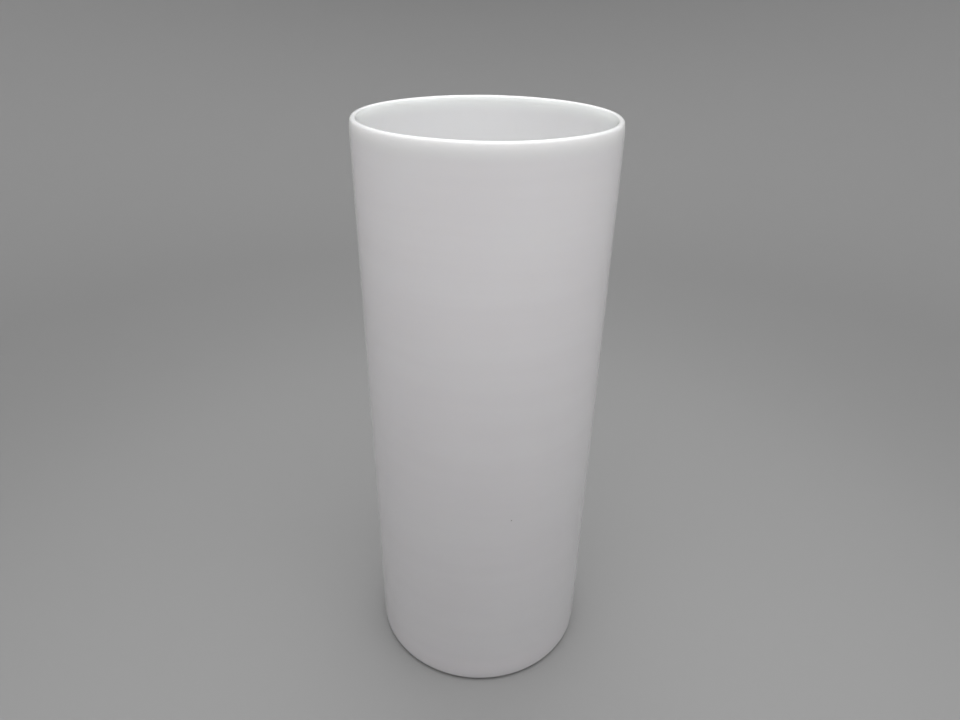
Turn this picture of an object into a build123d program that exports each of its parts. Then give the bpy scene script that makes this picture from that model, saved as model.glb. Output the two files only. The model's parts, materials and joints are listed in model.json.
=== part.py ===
"""White glass cylinder vase: an opal glass body cased over a thin clear glass lining.

The vase stands on the XY plane with its axis on +Z, and its origin is at the middle of its foot.
Each layer of glass is the region between two turned surfaces, so each is one revolved outline with
another cut out of it. Outlines are drawn with x as radius and y as height. All sizes are in
millimetres.
"""

from build123d import *
import math
import os

# Overall size
HEIGHT = 250.0
OUTER_RADIUS = 50.0

# The glass
WALL = 3.0  # both layers together
LINING = 0.6  # the clear layer, on the inner wall and on the floor
FLOOR_EDGE = 8.0  # height of the floor inside, where it would meet the wall
FLOOR_MIDDLE = 9.5  # height of the floor's crown
FLOOR_CORNER = 9.0  # radius where the floor turns up into the wall

# The lip, melted to a blunt nose
LIP_SHOULDER = 5.0  # height over which the wall draws in, on both its sides, towards the nose
LIP_NOSE = 1.15  # radius over the crest

# The foot
HEEL = 3.5  # radius where the outer wall turns under
GROUND_RING = 6.0  # width of the flat ring that is ground on the underside
PUSH_UP = 2.5  # height of the middle of the underside

# Worked out from those
INNER_RADIUS = OUTER_RADIUS - WALL
LIP_MIDDLE = OUTER_RADIUS - WALL / 2
SHOULDER_FOOT = HEIGHT - LIP_SHOULDER
NOSE_CENTRE = HEIGHT - LIP_NOSE
SHOULDER_RADIUS = ((LIP_SHOULDER - LIP_NOSE) ** 2 / (WALL / 2 - LIP_NOSE) + WALL / 2 + LIP_NOSE) / 2
SHOULDER_TURN = math.asin((NOSE_CENTRE - SHOULDER_FOOT) / (SHOULDER_RADIUS - LIP_NOSE))
RING_OUTER = OUTER_RADIUS - HEEL
RING_INNER = RING_OUTER - GROUND_RING
PAST_THE_MOUTH = HEIGHT + 10.0  # where the shape that cuts the hollow ends


def turned(outline):
    """The solid that a half section sweeps out when it turns about the vase's axis."""
    return revolve(Plane.XZ * outline, axis=Axis.Z, revolution_arc=360)


def vase_without_its_hollow():
    """The outside, filled in: pushed-up underside, ground ring, heel, wall and blunt lip.

    Each shoulder of the lip is an arc that starts upright on the wall. It touches the nose's arc
    where both have turned in by SHOULDER_TURN.
    """
    nose_out = LIP_NOSE * math.cos(SHOULDER_TURN)
    nose_start = NOSE_CENTRE + LIP_NOSE * math.sin(SHOULDER_TURN)
    underside = TangentArc((0, PUSH_UP), (RING_INNER, 0), tangent=(1, 0))
    ring = Line(underside @ 1, (RING_OUTER, 0))
    heel = TangentArc(ring @ 1, (OUTER_RADIUS, HEEL), tangent=(1, 0))
    wall = Line(heel @ 1, (OUTER_RADIUS, SHOULDER_FOOT))
    outer_shoulder = TangentArc(wall @ 1, (LIP_MIDDLE + nose_out, nose_start), tangent=(0, 1))
    nose = ThreePointArc(outer_shoulder @ 1, (LIP_MIDDLE, HEIGHT), (LIP_MIDDLE - nose_out, nose_start))
    inner_shoulder = TangentArc(nose @ 1, (INNER_RADIUS, SHOULDER_FOOT), tangent=nose % 1)
    across_the_mouth = Polyline(inner_shoulder @ 1, (0, SHOULDER_FOOT), (0, PUSH_UP))
    lip = [outer_shoulder, nose, inner_shoulder]
    return turned(make_face([underside, ring, heel, wall, *lip, across_the_mouth]))


def hollow(deeper=0.0):
    """The space inside, carried on past the mouth, with its surface moved into the glass by `deeper`."""
    floor = TangentArc((0, FLOOR_MIDDLE), (INNER_RADIUS, FLOOR_EDGE), tangent=(1, 0))
    wall_and_top = Polyline(floor @ 1, (INNER_RADIUS, PAST_THE_MOUTH), (0, PAST_THE_MOUTH), (0, FLOOR_MIDDLE))
    outline = make_face([floor, wall_and_top])
    outline = fillet(outline.vertices().sort_by_distance(floor @ 1)[0], FLOOR_CORNER)
    if deeper:
        right_of_the_axis = Rectangle(HEIGHT, 4 * HEIGHT, align=(Align.MIN, Align.CENTER))
        outline = offset(outline, amount=deeper) & right_of_the_axis
    return turned(outline)


def opal_glass_body():
    """The white layer: outer wall, base, foot and nearly all of the lip."""
    return vase_without_its_hollow() - hollow(deeper=LINING)


def clear_glass_lining():
    """The clear layer inside it, which thins up the inner shoulder to a feather edge on the nose."""
    return (vase_without_its_hollow() & hollow(deeper=LINING)) - hollow()


def main():
    os.makedirs("parts", exist_ok=True)
    for make in (opal_glass_body, clear_glass_lining):
        layer = make().solid()
        export_step(layer, f"parts/{make.__name__}.step")
        print(f"{make.__name__}: {layer.volume / 1000:.1f} cm3")
    filled_to_the_lip = hollow() & Cylinder(OUTER_RADIUS, 2 * SHOULDER_FOOT)
    print(f"it holds {filled_to_the_lip.volume / 1e6:.2f} litres")


main()
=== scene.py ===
# %% [markdown]
# # A white glass cylinder vase
# This lesson dresses a plain turned vase that was designed in CAD. The vase is blown from two layers of
# glass: an opaque white body, and a thin clear lining fused to the inside of it. The CAD model gives the
# sizes, and stays the judge of them. Blender gives the two layers smooth surfaces, the small unevenness of
# blown glass, and light that sinks into the white layer and glows at the lip.

# %% Load the frame
import json
import math

import bmesh
import bpy
from mathutils import Matrix, Vector, noise


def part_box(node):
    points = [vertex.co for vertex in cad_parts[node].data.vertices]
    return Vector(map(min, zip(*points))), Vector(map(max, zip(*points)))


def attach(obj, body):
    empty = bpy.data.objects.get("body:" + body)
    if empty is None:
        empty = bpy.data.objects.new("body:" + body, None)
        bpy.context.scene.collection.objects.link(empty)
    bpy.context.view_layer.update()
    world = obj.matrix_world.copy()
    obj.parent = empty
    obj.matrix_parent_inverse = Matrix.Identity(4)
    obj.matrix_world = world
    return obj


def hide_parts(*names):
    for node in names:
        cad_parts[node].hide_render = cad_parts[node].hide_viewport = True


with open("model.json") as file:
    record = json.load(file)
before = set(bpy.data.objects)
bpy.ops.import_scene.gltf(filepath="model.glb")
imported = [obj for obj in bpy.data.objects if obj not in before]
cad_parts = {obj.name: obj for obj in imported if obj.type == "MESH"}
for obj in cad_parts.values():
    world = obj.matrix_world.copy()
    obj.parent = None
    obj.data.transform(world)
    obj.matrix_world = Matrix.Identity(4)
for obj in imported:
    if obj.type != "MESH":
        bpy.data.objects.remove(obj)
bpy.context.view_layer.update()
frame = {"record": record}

# %% [markdown]
# ## Sizes that both layers share
# A turned object is described by half of its section: radii and heights. The large sizes are read from the
# frame, so that they can't disagree with the CAD. The small ones, the radii of the roundings, are named
# here in metres, as the CAD has them. The two layers touch on the real vase. In a renderer two faces in the
# same place fight over which is seen, so the lining is drawn a hair inside the white glass.

# %% Sizes
body_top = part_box("opal_glass_body")[1]
lining_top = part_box("clear_glass_lining")[1]
mouth = next(m for m in frame["record"]["mounts"] if m["name"] == "mouth")

HEIGHT = round(body_top.z, 4)
OUTER_RADIUS = round(body_top.x, 4)
INNER_RADIUS = mouth["dims"]["r_mm"] / 1000
LAYERS_MEET = round(lining_top.x, 4)
LINING = LAYERS_MEET - INNER_RADIUS
WALL = OUTER_RADIUS - INNER_RADIUS
LIP_MIDDLE = OUTER_RADIUS - WALL / 2

LIP_SHOULDER = 0.005
LIP_NOSE = 0.00115
HEEL = 0.0035
GROUND_RING = 0.006
PUSH_UP = 0.0025
FLOOR_EDGE = 0.008
FLOOR_MIDDLE = 0.0095
FLOOR_CORNER = 0.009
HAIR = 0.00002

print(f"height {HEIGHT * 1000:.1f} mm, radius {OUTER_RADIUS * 1000:.1f} mm, wall {WALL * 1000:.1f} mm,"
      f" of which the lining is {LINING * 1000:.2f} mm")

# %% [markdown]
# ## Drawing a section with a swinging point
# The section could be typed in as a list of points, but an arc would need many of them, and nobody could
# read its radius back. Instead one point does the drawing, as a compass and a ruler would. `swing` turns the
# last point about a centre with bmesh's spin, which leaves an arc behind it. `run` extrudes it along a
# straight line in even steps, so that the long wall has enough rows to carry a little unevenness later.

# %% Compass and ruler
def swing(bm, pen, centre, degrees, steps):
    """Draws an arc from the vertex `pen` about (radius, height) `centre`, and returns its last vertex."""
    out = bmesh.ops.spin(
        bm,
        geom=[pen],
        cent=(centre[0], 0, centre[1]),
        axis=(0, 1, 0),
        angle=math.radians(degrees),
        steps=steps,
    )
    return next(g for g in out["geom_last"] if isinstance(g, bmesh.types.BMVert))


def run(bm, pen, end, steps=1):
    """Draws a straight line from the vertex `pen` to (radius, height) `end`, and returns its last vertex."""
    start = pen.co.copy()
    end = Vector((end[0], 0, end[1]))
    for step in range(1, steps + 1):
        pen = bmesh.ops.extrude_vert_indiv(bm, verts=[pen])["verts"][0]
        pen.co = start.lerp(end, step / steps)
    return pen


# %% [markdown]
# ## The lip, which both layers share
# A flame melted the lip to a blunt nose. On both sides of the wall a long, slack arc draws in over the last
# 5 mm, and a small arc goes over the crest between them. Two circles touch where they share a tangent, and
# then their centres and the touching point lie on one line. That gives the radius of the slack arcs and how
# far they turn. The gentle shoulders matter for the looks: they tilt towards the sky, so they catch light.

# %% The circles of the lip
SHOULDER_FOOT = HEIGHT - LIP_SHOULDER
NOSE_CENTRE = HEIGHT - LIP_NOSE
SHOULDER_RADIUS = ((LIP_SHOULDER - LIP_NOSE) ** 2 / (WALL / 2 - LIP_NOSE) + WALL / 2 + LIP_NOSE) / 2
SHOULDER_TURN = math.degrees(math.asin((NOSE_CENTRE - SHOULDER_FOOT) / (SHOULDER_RADIUS - LIP_NOSE)))


def turn_on_nose(radius):
    """How far round the nose, in degrees from its outermost point, it reaches a distance from the axis."""
    return math.degrees(math.acos((radius - LIP_MIDDLE) / LIP_NOSE))


print(f"the shoulders have a radius of {SHOULDER_RADIUS * 1000:.1f} mm,"
      f" and lean in by {SHOULDER_TURN:.1f} degrees")

# %% [markdown]
# ## The inside, which both layers follow
# The floor is a very flat dome, and a corner of 9 mm leads from it up into the wall. The dome's circle is
# found from its height and width, and the corner's circle touches both the dome and the wall. Moving the
# whole line into the glass by `deeper` gives a parallel line, because each circle keeps its centre and only
# changes its radius. That is how the back of the lining and the hollow of the white glass come from one
# function.

# %% The inner line, from the lip down to the middle of the floor
DOME_RADIUS = (INNER_RADIUS**2 + (FLOOR_MIDDLE - FLOOR_EDGE) ** 2) / (2 * (FLOOR_MIDDLE - FLOOR_EDGE))
DOME_CENTRE = FLOOR_MIDDLE - DOME_RADIUS
CORNER_IN = INNER_RADIUS - FLOOR_CORNER
CORNER_UP = DOME_CENTRE + math.sqrt((DOME_RADIUS + FLOOR_CORNER) ** 2 - CORNER_IN**2)
DOME_TURN = math.degrees(math.asin(CORNER_IN / (DOME_RADIUS + FLOOR_CORNER)))
WALL_ROWS = 60


def draw_inner_line(bm, pen, deeper):
    """Draws down the wall from `pen`, round the corner and across the floor to the axis."""
    pen = run(bm, pen, (INNER_RADIUS + deeper, CORNER_UP), WALL_ROWS)
    pen = swing(bm, pen, (CORNER_IN, CORNER_UP), 90 + DOME_TURN, 14)
    return swing(bm, pen, (0, DOME_CENTRE), -DOME_TURN, 10)


print(f"the corner starts {CORNER_UP * 1000:.2f} mm up;"
      f" the floor is part of a ball of {DOME_RADIUS:.2f} m radius")

# %% [markdown]
# ## Turning
# A full spin about the axis makes the surface. The ends of a section that lie on the axis leave a stack of
# points there, so doubles are merged into one. Then the faces are made to point outwards, because a spin can
# turn them either way. A layer of glass has to be closed, so the count of its open edges is printed, and the
# volume of its glass, which the CAD gives too.

# %% Turn a section and make it an object
SEGMENTS = 192
SAME_POINT = 1e-7


def turn(bm):
    """Spins the section in `bm` once round the axis."""
    bmesh.ops.spin(
        bm,
        geom=bm.verts[:] + bm.edges[:],
        cent=(0, 0, 0),
        axis=(0, 0, 1),
        angle=math.tau,
        steps=SEGMENTS,
        use_merge=True,
    )
    bmesh.ops.remove_doubles(bm, verts=bm.verts[:], dist=SAME_POINT)
    bmesh.ops.recalc_face_normals(bm, faces=bm.faces[:])


def made(bm, name, material):
    """Puts the bmesh into the scene as a smooth object, and prints what it measures."""
    open_edges = sum(not e.is_manifold for e in bm.edges)
    holds = "an open sheet" if open_edges else f"closed, {bm.calc_volume(signed=True) * 1e6:.1f} cm3"
    mesh = bpy.data.meshes.new(name)
    bm.to_mesh(mesh)
    bm.free()
    mesh.shade_smooth()
    mesh.materials.append(material)
    piece = bpy.data.objects.new(name, mesh)
    bpy.context.scene.collection.objects.link(piece)
    print(f"{name}: {len(mesh.polygons)} faces, {open_edges} open edges, {holds}")
    return piece


# %% [markdown]
# ## The hand in the glass
# Blown glass is never quite true. Its wall strays by a few hundredths of a millimetre, in swells as long as
# a finger, and its lip dips a little where the flame softened it more. A bump in the material could fake
# this, but only real changes of shape bend the outline and the reflections together. The strays depend only
# on direction and height, so the two layers stray together and never cut through each other.

# %% Stray from true
SWELL = 0.00005
SWELL_SIZE = 0.035
LIP_DIP = 0.00010
LIP_DIP_SIZE = 0.030
LIP_DIP_DEPTH = 0.030


def stray(bm):
    """Moves each point of a layer in or out, and near the lip up or down, by a smooth random amount."""
    for v in bm.verts:
        radius = math.hypot(v.co.x, v.co.y)
        if radius < HAIR:
            continue
        out = Vector((v.co.x, v.co.y, 0)) / radius
        spot = out * OUTER_RADIUS + Vector((0, 0, v.co.z))
        near_lip = max(0.0, 1 - (HEIGHT - v.co.z) / LIP_DIP_DEPTH)
        v.co += out * (radius / OUTER_RADIUS) * SWELL * noise.noise(spot / SWELL_SIZE)
        v.co.z += near_lip**2 * LIP_DIP * noise.noise(out * OUTER_RADIUS / LIP_DIP_SIZE)


print(f"the wall strays by up to {SWELL * 1000:.2f} mm, the lip's height by up to {LIP_DIP * 1000:.2f} mm")

# %% [markdown]
# ## A shorthand for material nodes
# Materials here are small networks, and every node is made and wired in the same way. `put` adds a node,
# sets its properties, and fills its inputs: a plain value is set on the socket, and a socket is linked. Four
# kinds come up so often that they get a name each: sums, ramps from one range of numbers to another, cloudy
# noise, and a mix of two colours.

# %% Node shorthand
def put(tree, kind, properties=None, **inputs):
    """Adds a shader node. Inputs go by their name, with _ for a space, or by their number, as n0, n1."""
    node = tree.nodes.new(f"ShaderNode{kind}")
    for name, value in (properties or {}).items():
        setattr(node, name, value)
    for name, value in inputs.items():
        numbered = name[0] == "n" and name[1:].isdigit()
        socket = node.inputs[int(name[1:]) if numbered else name.replace("_", " ")]
        if isinstance(value, bpy.types.NodeSocket):
            tree.links.new(value, socket)
        else:
            socket.default_value = value
    return node


def math_of(tree, operation, a, b, c=0.0):
    """One sum on the numbers a and b, and on c where the operation takes three."""
    return put(tree, "Math", {"operation": operation}, n0=a, n1=b, n2=c).outputs["Value"]


def ramp(tree, value, start, end, low=0.0, high=1.0):
    """Goes smoothly from `low` where the value is `start` to `high` where it is `end`."""
    node = put(tree, "MapRange", {"interpolation_type": "SMOOTHSTEP"},
               Value=value, From_Min=start, From_Max=end, To_Min=low, To_Max=high)
    return node.outputs["Result"]


def clouds_of(tree, place, per_metre, detail=2.0, roughness=0.5):
    """Noise between 0 and 1, with about `per_metre` clouds to the metre."""
    node = put(tree, "TexNoise", Vector=place, Scale=per_metre, Detail=detail, Roughness=roughness)
    return node.outputs["Fac"]


def colours_of(tree, share, first, second):
    """The first colour where `share` is 0, and the second where it is 1."""
    return put(tree, "Mix", {"data_type": "RGBA"}, Factor=share, n6=first, n7=second).outputs[2]


def new_material(name):
    """An empty node material and its tree."""
    material = bpy.data.materials.new(name)
    material.use_nodes = True
    material.node_tree.nodes.clear()
    return material, material.node_tree


# %% [markdown]
# ## Opal glass: its white
# Opal glass is white all through, because fine crystals in it scatter the light. Its white leans a little to
# rose, and the clear lining, which leans to green, makes up for that inside. The crystals aren't spread
# quite evenly. Slow clouds of a denser white drift through it, and turning the soft glass drew out faint
# cords, which are streaks round the vase. A noise that is stretched flat, by scaling height much more than
# width, looks like such cords. Near the lip the white is painted paler, a painted glow that adds to the light
# gathered at the lip, and it fades out a few millimetres down. The odd seed is a speck of something that
# didn't melt. One sits on the front, and a Voronoi pattern scatters the rest: its cells are picked by their
# random colour, and each picked cell gets a dot at its middle.

# %% The white, and what is in it
THIN_WHITE = (0.905, 0.878, 0.900, 1)
DENSE_WHITE = (0.930, 0.902, 0.925, 1)
# Painted glow at the lip: a paler white over its top few millimetres, standing in for light gathered there.
PAINTED_GLOW_WHITE = (0.985, 0.970, 0.982, 1)
PAINTED_GLOW_REACH = 0.007
PAINTED_GLOW_FULL = 0.001
SEED_BROWN = (0.30, 0.27, 0.24, 1)
SEED_TURN = math.radians(14.5)
SEED_UP = 0.0995
SEED_SIZE = 0.00022
SEED_CORE = 0.6
SEED_EDGE = 1.6
SEEDED_SHARE = 0.15


def seed_on_front(tree, place):
    """A dot of 1 at the one seed on the front, and 0 elsewhere."""
    spot = (OUTER_RADIUS * math.sin(SEED_TURN), -OUTER_RADIUS * math.cos(SEED_TURN), SEED_UP)
    away = put(tree, "VectorMath", {"operation": "DISTANCE"}, n0=place, n1=spot).outputs["Value"]
    return ramp(tree, away, SEED_CORE * SEED_SIZE, SEED_EDGE * SEED_SIZE, 1, 0)


def scattered_seeds(tree, place):
    """Dots of 1 at the middles of a few cells, and 0 elsewhere."""
    cells = put(tree, "TexVoronoi", {"feature": "F1"}, Vector=place, Scale=45.0)
    dots = ramp(tree, cells.outputs["Distance"], 0.004, 0.010, 1, 0)
    picked = put(tree, "SeparateColor", Color=cells.outputs["Color"]).outputs["Red"]
    return math_of(tree, "MULTIPLY", dots, math_of(tree, "GREATER_THAN", picked, 1 - SEEDED_SHARE))


def opal_white(tree, place, height, cords):
    """The colour of the glass: denser and thinner white, a painted glow at the lip, and the seeds."""
    density = ramp(tree, math_of(tree, "ADD", clouds_of(tree, place, 22.0), cords), 0.7, 1.3)
    white = colours_of(tree, density, THIN_WHITE, DENSE_WHITE)
    # Painted glow: the white is painted paler towards the top of the lip.
    painted_glow = ramp(tree, height, HEIGHT - PAINTED_GLOW_REACH, HEIGHT - PAINTED_GLOW_FULL)
    white = colours_of(tree, painted_glow, white, PAINTED_GLOW_WHITE)
    seeds = math_of(tree, "MAXIMUM", seed_on_front(tree, place), scattered_seeds(tree, place))
    return colours_of(tree, seeds, white, SEED_BROWN)


print(f"the front seed is {2 * SEED_EDGE * SEED_SIZE * 1000:.1f} mm across with its soft edge,"
      f" and {SEED_UP * 1000:.0f} mm up")


# %% [markdown]
# ## Opal glass: its skin
# The skin is as smooth as the mould and the flame left it, so it mirrors softly, with dull patches where it
# has been handled. The lip was ground to height and then melted smooth, and a fine grain is left on its
# crest, which makes small glints. The ring under the heel is the one place that was ground and left so. It
# is found by its height, and it is matt and scratched in circles by the wheel.

# %% Masks and relief of the skin
RING_GROUND = 0.00006
RING_FADES = 0.00022
CREST_STARTS = 0.0011
CREST_FULL = 0.0002
MATT = 0.55


def ring_mask(tree, height):
    """1 on the ground ring, and 0 just above it."""
    return ramp(tree, height, RING_GROUND, RING_FADES, 1, 0)


def crest_mask(tree, height):
    """1 on the crest of the lip, and 0 a millimetre below it."""
    return ramp(tree, height, HEIGHT - CREST_STARTS, HEIGHT - CREST_FULL)


def wheel_marks(tree, place):
    """Fine circles about the axis, broken up a little, as a grinding wheel leaves them."""
    across = put(tree, "VectorMath", {"operation": "MULTIPLY"}, n0=place, n1=(1, 1, 0)).outputs["Vector"]
    radius = put(tree, "VectorMath", {"operation": "LENGTH"}, n0=across).outputs["Value"]
    marks = put(tree, "TexNoise", {"noise_dimensions": "1D"}, W=radius, Scale=9000.0, Detail=3.0)
    return math_of(tree, "ADD", marks.outputs["Fac"], clouds_of(tree, place, 4000.0))


def skin_relief(tree, place, height, cords):
    """The bump of the skin: cords faintly all over, wheel marks on the ring, and grain on the crest."""
    grain = clouds_of(tree, place, 1100.0)
    relief = math_of(tree, "MULTIPLY", cords, 0.15)
    relief = math_of(tree, "MULTIPLY_ADD", wheel_marks(tree, place), ring_mask(tree, height), relief)
    relief = math_of(tree, "MULTIPLY_ADD", grain, crest_mask(tree, height), relief)
    return put(tree, "Bump", Strength=0.15, Distance=0.0002, Height=relief).outputs["Normal"]


def skin_roughness(tree, place, height):
    """Polished, with duller patches from handling, and matt on the ring."""
    handling = clouds_of(tree, place, 60.0, 4.0, 0.6)
    polish = ramp(tree, handling, 0.40, 0.70, 0.09, 0.14)
    ring = ring_mask(tree, height)
    return put(tree, "Mix", {"data_type": "FLOAT"}, Factor=ring, n2=polish, n3=MATT).outputs[0]


print(f"the ring is matt below {RING_FADES * 1000:.2f} mm,"
      f" and the lip is grained over its top {CREST_STARTS * 1000:.1f} mm")

# %% [markdown]
# ## Opal glass: light inside it
# White paint would stop the light at the surface. In opal glass a ray goes in, wanders for millimetres and
# comes out somewhere else, sometimes on the other side of the wall. So the lip, which catches light from
# above on both its sides, glows, and the glow fades down the wall. Subsurface scattering does this: its scale
# is about how far a ray wanders between two turns.

# %% The white material
SCATTER_DEPTH = 0.005


def opal_glass():
    """The white glass, all of it."""
    material, tree = new_material("opal_glass")
    place = put(tree, "TexCoord").outputs["Object"]
    height = put(tree, "SeparateXYZ", Vector=place).outputs["Z"]
    drawn_out = put(tree, "Mapping", Vector=place, Scale=(5.0, 5.0, 90.0)).outputs["Vector"]
    cords = clouds_of(tree, drawn_out, 1.0, 3.0, 0.6)
    shader = put(
        tree,
        "BsdfPrincipled",
        Base_Color=opal_white(tree, place, height, cords),
        Roughness=skin_roughness(tree, place, height),
        Normal=skin_relief(tree, place, height, cords),
        IOR=1.5,
        Subsurface_Weight=1.0,
        Subsurface_Radius=(1.0, 0.98, 0.95),
        Subsurface_Scale=SCATTER_DEPTH,
    )
    put(tree, "OutputMaterial", Surface=shader.outputs["BSDF"])
    return material


print("opal glass scatters light over", SCATTER_DEPTH * 1000, "mm")

# %% [markdown]
# ## The white body
# The body's section is one closed line: along the pushed-up underside, over the ring that is ground flat,
# round the heel, up the wall and its shoulder, over the nose of the lip, and back down the hollow. The white
# glass ends where the lining starts, so the arc over the nose stops there.

# %% Draw and turn the white body
RING_OUTER = OUTER_RADIUS - HEEL
RING_INNER = RING_OUTER - GROUND_RING
UNDER_RADIUS = (RING_INNER**2 + PUSH_UP**2) / (2 * PUSH_UP)
UNDER_TURN = math.degrees(math.asin(RING_INNER / UNDER_RADIUS))


def draw_body(bm):
    """Draws the whole section of the white glass, from the axis below to the axis above."""
    pen = bm.verts.new((0, 0, PUSH_UP))
    pen = swing(bm, pen, (0, PUSH_UP - UNDER_RADIUS), UNDER_TURN, 12)
    pen = run(bm, pen, (RING_OUTER, 0), 2)
    pen = swing(bm, pen, (RING_OUTER, HEEL), -90, 10)
    pen = run(bm, pen, (OUTER_RADIUS, SHOULDER_FOOT), WALL_ROWS)
    pen = swing(bm, pen, (OUTER_RADIUS - SHOULDER_RADIUS, SHOULDER_FOOT), -SHOULDER_TURN, 8)
    pen = swing(bm, pen, (LIP_MIDDLE, NOSE_CENTRE), SHOULDER_TURN - turn_on_nose(LAYERS_MEET), 16)
    draw_inner_line(bm, pen, LINING)


section = bmesh.new()
draw_body(section)
turn(section)
stray(section)
body = made(section, "opal_body", opal_glass())
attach(body, "root")
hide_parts("opal_glass_body")

# %% [markdown]
# ## Clear glass
# A full glass shader bends every ray, and then the lamps can hardly reach the white behind it except by
# chance, which makes a very noisy render. The lining is under a millimetre thick and lies on white, so
# bending shows nowhere. It is enough to let light straight through, tinted a little by the iron in the
# glass, and to mirror more of it at a shallow angle. Only the face towards the air mirrors, because the
# back is fused to the white glass.

# %% The clear material
IRON_TINT = (0.985, 0.998, 0.990, 1)


def clear_glass():
    """Thin clear glass: straight through, and mirrored towards the air."""
    material, tree = new_material("clear_glass")
    place = put(tree, "TexCoord").outputs["Object"]
    through = put(tree, "BsdfTransparent", Color=IRON_TINT).outputs["BSDF"]
    ripple = clouds_of(tree, place, 80.0, 1.0)
    normal = put(tree, "Bump", Strength=0.1, Distance=0.0002, Height=ripple).outputs["Normal"]
    mirror = put(tree, "BsdfGlossy", Color=(1, 1, 1, 1), Roughness=0.04, Normal=normal).outputs["BSDF"]
    share = put(tree, "Fresnel", IOR=1.5, Normal=normal).outputs["Fac"]
    to_the_air = math_of(tree, "SUBTRACT", 1.0, put(tree, "NewGeometry").outputs["Backfacing"])
    share = math_of(tree, "MULTIPLY", share, to_the_air)
    surface = put(tree, "MixShader", n0=share, n1=through, n2=mirror).outputs["Shader"]
    put(tree, "OutputMaterial", Surface=surface)
    return material


print("the clear glass lets through", [round(c**2, 3) for c in IRON_TINT[:3]], "of the light, in and out")

# %% [markdown]
# ## The clear lining
# The lining is drawn as two lines that start at its feather edge on the nose of the lip. One finishes the
# nose, comes down the inner shoulder and follows the inner line. The other follows the same line, deeper by
# the lining's thickness less a hair. Both end on the axis, and turning them together gives one closed skin.
#
# Light inside a vase bounces from wall to wall, and crosses the lining twice each time. Cycles gives up on a
# ray after eight clear faces, so the inside would come out too dark. Clear glass shades nothing, so the
# lining is hidden from diffuse and shadow rays, and only the camera and the reflections see it.

# %% Draw and turn the lining
LINING_BACK = LINING - HAIR
FEATHER_TURN = turn_on_nose(INNER_RADIUS + LINING_BACK)


def draw_lining(bm):
    """Draws the front and the back of the lining's section, from its feather edge to the axis."""
    feather_up = NOSE_CENTRE + LIP_NOSE * math.sin(math.radians(FEATHER_TURN))
    feather = bm.verts.new((INNER_RADIUS + LINING_BACK, 0, feather_up))
    front = swing(bm, feather, (LIP_MIDDLE, NOSE_CENTRE), SHOULDER_TURN + FEATHER_TURN - 180, 6)
    front = swing(bm, front, (INNER_RADIUS + SHOULDER_RADIUS, SHOULDER_FOOT), -SHOULDER_TURN, 8)
    draw_inner_line(bm, front, 0)
    draw_inner_line(bm, feather, LINING_BACK)


section = bmesh.new()
draw_lining(section)
turn(section)
stray(section)
lining = made(section, "clear_lining", clear_glass())
lining.visible_diffuse = False
lining.visible_shadow = False
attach(lining, "root")
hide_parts("clear_glass_lining")

# %% [markdown]
# ## The stage
# A round sweep of pale paper stands in for a table and a backdrop: a floor that curves up into a wall all
# round, so that no edge or horizon shows from any side. It is turned from a section too. The lamps hang
# close over the vase, so their light falls off towards the wall, and the paper gets paler to make up for it.

# %% Floor and sweep
FLAT = 0.55
COVE = 0.55
WALL_TOP = 2.0
NEAR, NEAR_PALE = 0.30, 0.40
FAR, FAR_PALE = 1.15, 0.82


def pale_paper():
    """Matt paper, paler with its distance from the vase."""
    material, tree = new_material("pale_paper")
    place = put(tree, "TexCoord").outputs["Object"]
    reach = put(tree, "VectorMath", {"operation": "LENGTH"}, n0=place).outputs["Value"]
    fibres = clouds_of(tree, place, 900.0, 3.0)
    normal = put(tree, "Bump", Strength=0.05, Distance=0.0002, Height=fibres).outputs["Normal"]
    pale = ramp(tree, reach, NEAR, FAR, NEAR_PALE, FAR_PALE)
    shader = put(tree, "BsdfPrincipled", Base_Color=pale, Roughness=0.8, Normal=normal)
    put(tree, "OutputMaterial", Surface=shader.outputs["BSDF"])
    return material


section = bmesh.new()
edge = run(section, section.verts.new((0, 0, 0)), (FLAT, 0), 4)
edge = swing(section, edge, (FLAT, COVE), -90, 16)
run(section, edge, (FLAT + COVE, WALL_TOP), 4)
turn(section)
made(section, "floor", pale_paper())

# %% [markdown]
# ## Lights
# Plain white glass is shown by how the light falls off over it. A large soft lamp close overhead makes the
# lip and the inside bright and lets the wall darken towards the foot. One in front and above rounds the
# wall, and one behind lights the far side of the inside. Two weak ones at the sides keep the edges of the
# wall from sinking, the right one stronger, so that the two sides differ. The lamps are hidden from the
# camera, but not from reflections.

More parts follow.
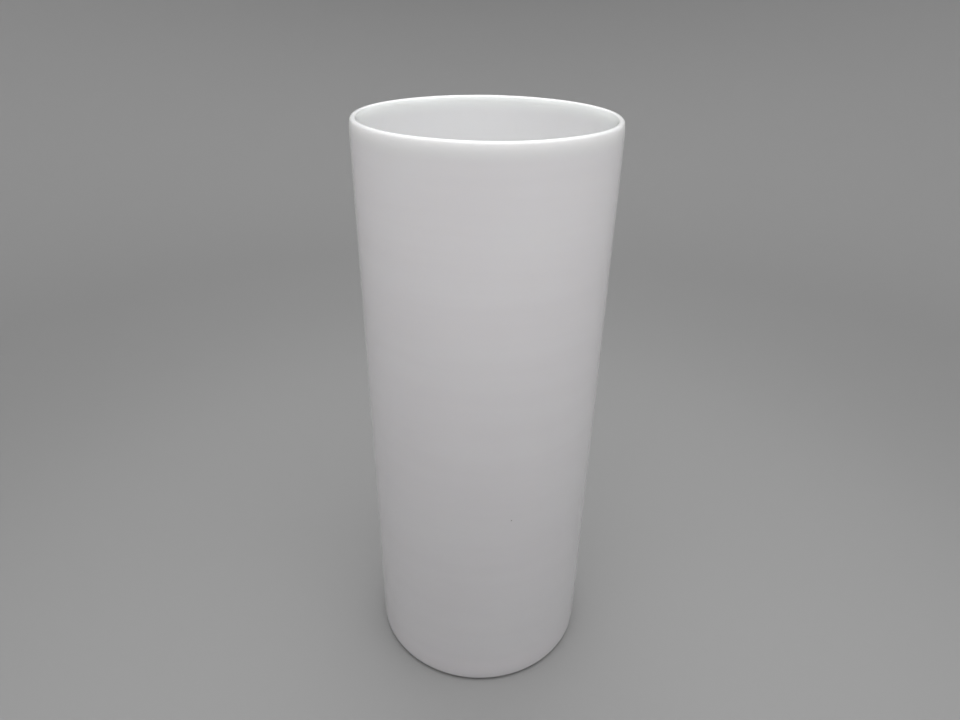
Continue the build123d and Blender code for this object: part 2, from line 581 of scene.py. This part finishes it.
# %% Lamps
def softbox(name, place, size, power):
    """A square lamp at `place`, turned to the vase."""
    lamp = bpy.data.lights.new(name, "AREA")
    lamp.shape = "SQUARE"
    lamp.size = size
    lamp.energy = power
    box = bpy.data.objects.new(name, lamp)
    box.location = place
    box.rotation_mode = "QUATERNION"
    box.rotation_quaternion = (Vector((0, 0, HEIGHT / 2)) - Vector(place)).to_track_quat("-Z", "Y")
    box.visible_camera = False
    bpy.context.scene.collection.objects.link(box)
    print(f"{name} lamp: {size * 100:.0f} cm wide, {power} W")


softbox("overhead", (0.0, -0.05, 0.60), 0.5, 1.62)
softbox("front", (0.0, -0.45, 0.75), 0.6, 1.15)
softbox("back", (0.0, 0.40, 0.70), 0.6, 1.40)
softbox("right", (0.38, -0.15, 0.58), 0.45, 0.55)
softbox("left", (-0.38, -0.15, 0.58), 0.45, 0.30)

ROOM_LIGHT = 0.03

world = bpy.data.worlds.new("studio")
world.use_nodes = True
background = world.node_tree.nodes["Background"]
background.inputs["Color"].default_value = (1, 1, 1, 1)
background.inputs["Strength"].default_value = ROOM_LIGHT
bpy.context.scene.world = world
bpy.context.scene.view_settings.view_transform = "Standard"

# %% [markdown]
# ## Camera
# A close wide lens looks down on the vase, as a person standing over a table would, so the mouth opens into
# an ellipse and the foot looks narrower than the mouth. The camera leans a little to one side.

# %% Camera
CAMERA_BACK = 0.2610
CAMERA_SIDE = -0.0013
CAMERA_UP = 0.2917
LOOK_DOWN = 28.91
LEAN = 0.834
LENS = 25.58

lens = bpy.data.cameras.new("camera")
lens.lens = LENS
lens.sensor_width = 36.0
lens.clip_start = 0.01
camera = bpy.data.objects.new("camera", lens)
camera.location = (CAMERA_SIDE, -CAMERA_BACK, CAMERA_UP)
camera.rotation_mode = "QUATERNION"
camera.rotation_quaternion = (
    Matrix.Rotation(math.radians(90 - LOOK_DOWN), 3, "X") @ Matrix.Rotation(math.radians(LEAN), 3, "Z")
).to_quaternion()
bpy.context.scene.collection.objects.link(camera)
bpy.context.scene.camera = camera
print(f"the camera is {CAMERA_BACK * 1000:.0f} mm in front and {CAMERA_UP * 1000:.0f} mm up,"
      f" and looks down by {LOOK_DOWN} degrees")
